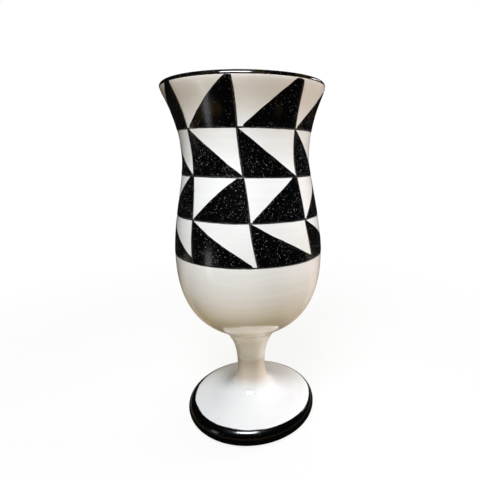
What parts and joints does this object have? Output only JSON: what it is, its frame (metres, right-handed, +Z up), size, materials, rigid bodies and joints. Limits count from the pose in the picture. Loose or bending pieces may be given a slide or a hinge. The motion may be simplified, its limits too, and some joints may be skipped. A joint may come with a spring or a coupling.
{
  "type": "footed ceramic beer tumbler",
  "caption": "Footed ceramic beer tumbler: waisted bowl with flared rim on a short stem and round foot, white glaze painted with rows of black triangles.",
  "frame": {"origin": "centre of the standing ring, on the surface that the tumbler stands on", "axes": "+Z up along the turning axis to the rim, -Y towards the viewer of the picture, +X to the right"},
  "size_m": [0.0833, 0.0832, 0.19],
  "materials": {
    "white_glaze": "glossy warm white glaze over fired clay, with faint turning streaks",
    "black_glaze": "glossy black brushed glaze with fine pale specks, brown where it is thin",
    "clay_slip": "fired clay slip, glazed over with the pieces it joins"
  },
  "bodies": {
    "root": {"bowl": "white_glaze", "bowl_joint_slip": "clay_slip", "stem": "white_glaze", "foot_joint_slip": "clay_slip", "foot": "white_glaze", "rim_glaze": "black_glaze", "foot_edge_glaze": "black_glaze", "painted_field_r1_c1": "black_glaze", "painted_field_r1_c2": "black_glaze", "painted_field_r1_c3": "black_glaze", "painted_field_r1_c4": "black_glaze", "painted_field_r1_c5": "black_glaze", "painted_field_r1_c6": "black_glaze", "painted_field_r1_c7": "black_glaze", "painted_field_r1_c8": "black_glaze", "painted_field_r2_c1": "black_glaze", "painted_field_r2_c2": "black_glaze", "painted_field_r2_c3": "black_glaze", "painted_field_r2_c4": "black_glaze", "painted_field_r2_c5": "black_glaze", "painted_field_r2_c6": "black_glaze", "painted_field_r2_c7": "black_glaze", "painted_field_r2_c8": "black_glaze", "painted_field_r3_c1": "black_glaze", "painted_field_r3_c2": "black_glaze", "painted_field_r3_c3": "black_glaze", "painted_field_r3_c4": "black_glaze", "painted_field_r3_c5": "black_glaze", "painted_field_r3_c6": "black_glaze", "painted_field_r3_c7": "black_glaze", "painted_field_r3_c8": "black_glaze", "painted_field_r4_c1": "black_glaze", "painted_field_r4_c2": "black_glaze", "painted_field_r4_c3": "black_glaze", "painted_field_r4_c4": "black_glaze", "painted_field_r4_c5": "black_glaze", "painted_field_r4_c6": "black_glaze", "painted_field_r4_c7": "black_glaze", "painted_field_r4_c8": "black_glaze"}
  },
  "joints": []
}
